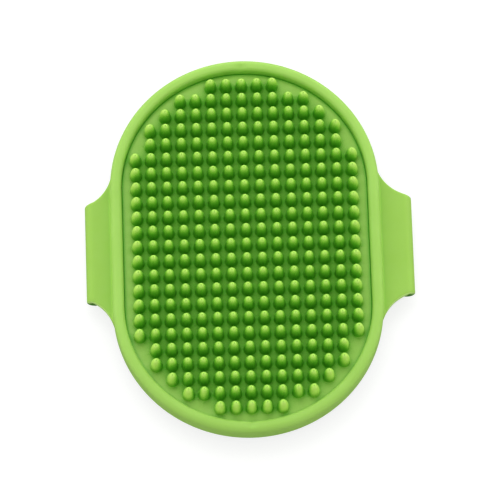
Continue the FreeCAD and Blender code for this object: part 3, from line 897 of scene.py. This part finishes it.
def make_pins():
    """Headed anchor pins."""
    low = PLATE_LOW.z + PIN_HEAD_SUNK
    corners = [(CORE_RADIUS, low), (PIN_HEAD_RADIUS, low), (PIN_HEAD_RADIUS, PIN_HEAD_TOP),
               (PIN_RADIUS, PIN_HEAD_TOP), (PIN_RADIUS, PIN_TOP), (CORE_RADIUS, PIN_TOP)]
    pins = join_copies("anchor_pins", turned_loops(rounded(corners, PIN_ROUND), 40), pin_places())
    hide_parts("strap_anchor_pins")
    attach(pins, "brush")
    return pins


def make_studs():
    """Mushroom studs that button the two strap ends together."""
    shank_low, shank_high = STUD_SHANK
    corners = [(CORE_RADIUS, STUD_LOW.z), (STUD_HEAD_RADIUS, STUD_LOW.z),
               (STUD_HEAD_RADIUS, shank_low), (STUD_RADIUS, shank_low),
               (STUD_RADIUS, shank_high), (STUD_FLANGE_RADIUS, shank_high),
               (STUD_FLANGE_RADIUS, STUD_HIGH.z), (CORE_RADIUS, STUD_HIGH.z)]
    loops = turned_loops(rounded(corners, STUD_ROUND), 48)
    studs = join_copies("mushroom_studs", loops, stud_places())
    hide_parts("strap_studs")
    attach(studs, "right_end")
    return studs


# --------------------------------------------------------------- materials

class Nodes:
    """Short helper for building a material's node tree."""

    def __init__(self, name):
        self.material = bpy.data.materials.new(name)
        self.material.use_nodes = True
        self.tree = self.material.node_tree
        self.shader = self.tree.nodes["Principled BSDF"]

    def add(self, kind, **settings):
        """A new node; settings name its input sockets or its properties."""
        node = self.tree.nodes.new(kind)
        for key, value in settings.items():
            if key in node.inputs:
                node.inputs[key].default_value = value
            else:
                setattr(node, key, value)
        return node

    def link(self, source, target):
        """Connect two sockets."""
        self.tree.links.new(source, target)

    def noise(self, scale, detail=3.0, roughness=0.5):
        """Noise in the object's own metres."""
        where = self.add("ShaderNodeTexCoord")
        noise = self.add("ShaderNodeTexNoise", Scale=scale, Detail=detail, Roughness=roughness)
        self.link(where.outputs["Object"], noise.inputs["Vector"])
        return noise.outputs["Fac"]

    def spread(self, value, low, high, from_low=0.35, from_high=0.65):
        """Map a value to a range."""
        node = self.add("ShaderNodeMapRange")
        node.inputs["From Min"].default_value = from_low
        node.inputs["From Max"].default_value = from_high
        node.inputs["To Min"].default_value = low
        node.inputs["To Max"].default_value = high
        self.link(value, node.inputs["Value"])
        return node.outputs["Result"]

    def add_up(self, first, second):
        """Sum of two values, kept between 0 and 1."""
        node = self.add("ShaderNodeMath", operation="ADD", use_clamp=True)
        self.link(first, node.inputs[0])
        self.link(second, node.inputs[1])
        return node.outputs[0]

    def ramp(self, value, stops):
        """Colour looked up along a value; stops is a list of (value, colour)."""
        node = self.add("ShaderNodeValToRGB")
        elements = node.color_ramp.elements
        while len(elements) < len(stops):
            elements.new(0.5)
        for element, (place, colour) in zip(elements, stops):
            element.position = place
            element.color = colour
        self.link(value, node.inputs["Fac"])
        return node.outputs["Color"]

    def mix(self, factor, first, second):
        """Blend two colours, each a colour or a socket."""
        node = self.add("ShaderNodeMix", data_type="RGBA")
        factor_in, first_in, second_in = (node.inputs[index] for index in (0, 6, 7))
        for target, value in ((first_in, first), (second_in, second)):
            if hasattr(value, "links"):
                self.link(value, target)
            else:
                target.default_value = value
        self.link(factor, factor_in)
        return node.outputs[2]

    def openness(self, distance, **settings):
        """How open the surface is to the light within a distance, from 0 to 1."""
        node = self.add("ShaderNodeAmbientOcclusion", samples=8, Distance=distance, **settings)
        return node.outputs["AO"]

    def attribute(self, name):
        """A value stored on the mesh; it is 0 where the mesh has none."""
        return self.add("ShaderNodeAttribute", attribute_name=name).outputs["Fac"]

    def grain(self):
        """Fine moulded grain on the surface."""
        bump = self.add("ShaderNodeBump", Strength=GRAIN_STRENGTH, Distance=GRAIN_DEPTH)
        self.link(self.noise(GRAIN_SCALE, 4.0, 0.6), bump.inputs["Height"])
        self.link(bump.outputs["Normal"], self.shader.inputs["Normal"])


def soft_rubber(name, colour, deep):
    """Satin moulded rubber: faint mottling, fine grain, a little light carried inside, painted shade
    in crevices and corners, and on the strap a painted highlight along the cut edges and painted shade
    inside the fold.
    """
    nodes = Nodes(name)
    shader = nodes.shader
    mottle = nodes.spread(nodes.noise(MOTTLE_SCALE, 4.0), 0.0, 1.0)
    body = nodes.mix(mottle, colour, deep)
    # Painted shade in crevices and corners, by how open the surface is to the light
    openness = nodes.spread(nodes.openness(CREVICE_REACH), 0.0, 1.0, *CREVICE_OPENNESS)
    # Painted highlight on the strap's cut edges, painted shade inside its fold
    body = nodes.mix(nodes.attribute("side"), body, SIDE_PAINTED_HIGHLIGHT)
    body = nodes.mix(nodes.attribute("inside"), body, INSIDE_PAINTED_SHADE)
    nodes.link(nodes.mix(openness, CREVICE_PAINTED_SHADE, body), shader.inputs["Base Color"])
    sheen = nodes.spread(nodes.noise(SHEEN_SCALE, 3.0), *RUBBER_ROUGHNESS)
    nodes.link(sheen, shader.inputs["Roughness"])
    nodes.grain()
    shader.inputs["Specular IOR Level"].default_value = RUBBER_SPECULAR
    shader.inputs["Subsurface Weight"].default_value = RUBBER_GLOW_WEIGHT
    shader.inputs["Subsurface Radius"].default_value = RUBBER_GLOW_RADIUS
    shader.inputs["Subsurface Scale"].default_value = RUBBER_GLOW_SCALE
    return nodes.material


def bristle_rubber(name):
    """The pad's rubber, with painted light where it is open to the light and painted shade, deep
    green, between the bristles and next to the rim.
    """
    nodes = Nodes(name)
    shader = nodes.shader
    # Painted light where the pad is open, painted shade among the bristles
    among_bristles = nodes.openness(BRISTLE_SHADE_REACH, only_local=True)
    flanks = nodes.ramp(among_bristles, BRISTLE_PAINTED_SHADES)
    skin = nodes.ramp(among_bristles, PAD_PAINTED_SHADES)
    where = nodes.add("ShaderNodeTexCoord")
    split = nodes.add("ShaderNodeSeparateXYZ")
    nodes.link(where.outputs["Object"], split.inputs[0])
    risen = nodes.spread(split.outputs["Z"], 0.0, 1.0, *BRISTLE_FOOT_LEVELS)
    rubber = nodes.mix(risen, skin, flanks)
    # Painted shade on the pad's skin next to the rim
    near_rim = nodes.spread(nodes.openness(CREASE_REACH), 0.0, 1.0, *CREASE_OPENNESS)
    rubber = nodes.mix(nodes.add_up(near_rim, risen), CREASE_PAINTED_SHADE, rubber)
    nodes.link(rubber, shader.inputs["Base Color"])
    sheen = nodes.spread(nodes.noise(SHEEN_SCALE, 3.0), *PAD_ROUGHNESS)
    nodes.link(sheen, shader.inputs["Roughness"])
    nodes.grain()
    gloss = nodes.spread(among_bristles, *PAD_SPECULAR, *PAD_SPECULAR_OPENNESS)
    nodes.link(gloss, shader.inputs["Specular IOR Level"])
    return nodes.material


def matte_plastic(name, colour, deep):
    """Fine spark-textured moulded plastic."""
    nodes = Nodes(name)
    shader = nodes.shader
    tone = nodes.spread(nodes.noise(PLASTIC_TONE_SCALE, 4.0), 0.0, 1.0)
    nodes.link(nodes.mix(tone, colour, deep), shader.inputs["Base Color"])
    sheen = nodes.spread(nodes.noise(PLASTIC_SHEEN_SCALE, 3.0), *PLASTIC_ROUGHNESS)
    nodes.link(sheen, shader.inputs["Roughness"])
    bump = nodes.add("ShaderNodeBump", Strength=SPARK_STRENGTH, Distance=SPARK_DEPTH)
    nodes.link(nodes.noise(SPARK_SCALE, 2.0), bump.inputs["Height"])
    nodes.link(bump.outputs["Normal"], shader.inputs["Normal"])
    return nodes.material


def paint(piece, material):
    """Give a piece its one material."""
    piece.data.materials.clear()
    piece.data.materials.append(material)


# ------------------------------------------------------------------- stage

def make_floor():
    """Pale floor. It follows the strap's back, which the brush lies on, at every pose."""
    size = FLOOR_HALF_SIZE
    level = LADDER_LOW.z - FLOOR_GAP
    corners = [(-size, -size, level), (size, -size, level), (size, size, level), (-size, size, level)]
    floor = new_piece("floor", corners, [(0, 1, 2, 3)])
    floor.parent = frame["bodies"]["left_end"]
    nodes = Nodes("floor_paper")
    nodes.shader.inputs["Base Color"].default_value = (FLOOR_GREY, FLOOR_GREY, FLOOR_GREY, 1)
    nodes.shader.inputs["Emission Color"].default_value = (1.0, 1.0, 1.0, 1)
    seen = nodes.add("ShaderNodeLightPath")
    glow = nodes.add("ShaderNodeMath", operation="MULTIPLY")
    nodes.link(seen.outputs["Is Camera Ray"], glow.inputs[0])
    glow.inputs[1].default_value = FLOOR_GLOW
    nodes.link(glow.outputs[0], nodes.shader.inputs["Emission Strength"])
    nodes.shader.inputs["Roughness"].default_value = FLOOR_ROUGHNESS
    paint(floor, nodes.material)
    return floor


def make_world():
    """Soft white light tent, brighter low down all round and towards the body's far end."""
    world = bpy.data.worlds.new("studio")
    bpy.context.scene.world = world
    world.use_nodes = True
    tree = world.node_tree
    where = tree.nodes.new("ShaderNodeTexCoord")
    split = tree.nodes.new("ShaderNodeSeparateXYZ")
    tree.links.new(where.outputs["Generated"], split.inputs[0])
    falloff = tree.nodes.new("ShaderNodeMath")
    falloff.operation = "MULTIPLY_ADD"
    falloff.inputs[1].default_value = -TENT_DROP * TENT_STRENGTH
    falloff.inputs[2].default_value = TENT_STRENGTH
    tree.links.new(split.outputs["Z"], falloff.inputs[0])
    sideways = tree.nodes.new("ShaderNodeVectorMath")
    sideways.operation = "DOT_PRODUCT"
    sideways.inputs[1].default_value = TENT_LEAN
    tree.links.new(where.outputs["Generated"], sideways.inputs[0])
    lean = tree.nodes.new("ShaderNodeMath")
    lean.operation = "ADD"
    lean.inputs[1].default_value = 1.0
    tree.links.new(sideways.outputs["Value"], lean.inputs[0])
    strength = tree.nodes.new("ShaderNodeMath")
    strength.operation = "MULTIPLY"
    tree.links.new(falloff.outputs[0], strength.inputs[0])
    tree.links.new(lean.outputs[0], strength.inputs[1])
    tree.nodes["Background"].inputs["Color"].default_value = (1.0, 1.0, 1.0, 1.0)
    tree.links.new(strength.outputs[0], tree.nodes["Background"].inputs["Strength"])


def make_key_light():
    """Large soft box above the far end."""
    light = bpy.data.lights.new("key", "AREA")
    light.shape = "RECTANGLE"
    light.size, light.size_y = KEY_SIZE
    light.energy = KEY_WATTS
    lamp = bpy.data.objects.new("key", light)
    lamp.location = KEY_PLACE
    lamp.rotation_euler = (-Vector(KEY_PLACE)).to_track_quat("-Z", "Y").to_euler()
    bpy.context.scene.collection.objects.link(lamp)


def make_camera():
    """Long lens, looking down on the bristles from the near end."""
    data = bpy.data.cameras.new("camera")
    data.sensor_width = CAMERA_SENSOR
    data.lens = CAMERA_LENS
    data.clip_start, data.clip_end = CAMERA_CLIP
    camera = bpy.data.objects.new("camera", data)
    turn = Euler([math.radians(angle) for angle in CAMERA_TURN])
    camera.rotation_euler = turn
    camera.location = Vector(CAMERA_AIM) + turn.to_matrix() @ Vector((0, 0, CAMERA_DISTANCE))
    bpy.context.scene.collection.objects.link(camera)
    bpy.context.scene.camera = camera


pad_piece = make_bristle_pad()
rim_piece = make_rim()
strap_pieces = make_straps()
plate_piece = make_back_plate()
pin_piece = make_pins()
stud_piece = make_studs()

paint(pad_piece, bristle_rubber("pad_rubber"))
paint(rim_piece, soft_rubber("rim_rubber", RIM_RUBBER, RIM_RUBBER_DEEP))
strap_rubber = soft_rubber("strap_rubber", STRAP_RUBBER, STRAP_RUBBER_DEEP)
for strap_piece in strap_pieces:
    paint(strap_piece, strap_rubber)
paint(plate_piece, matte_plastic("plate_plastic", PLATE_PLASTIC, PLATE_PLASTIC_DEEP))
paint(pin_piece, matte_plastic("pin_plastic", PIN_PLASTIC, PIN_PLASTIC_DEEP))
paint(stud_piece, matte_plastic("stud_plastic", PLATE_PLASTIC, PLATE_PLASTIC_DEEP))

bpy.context.scene.view_settings.view_transform = "Standard"
make_floor()
make_world()
make_key_light()
make_camera()
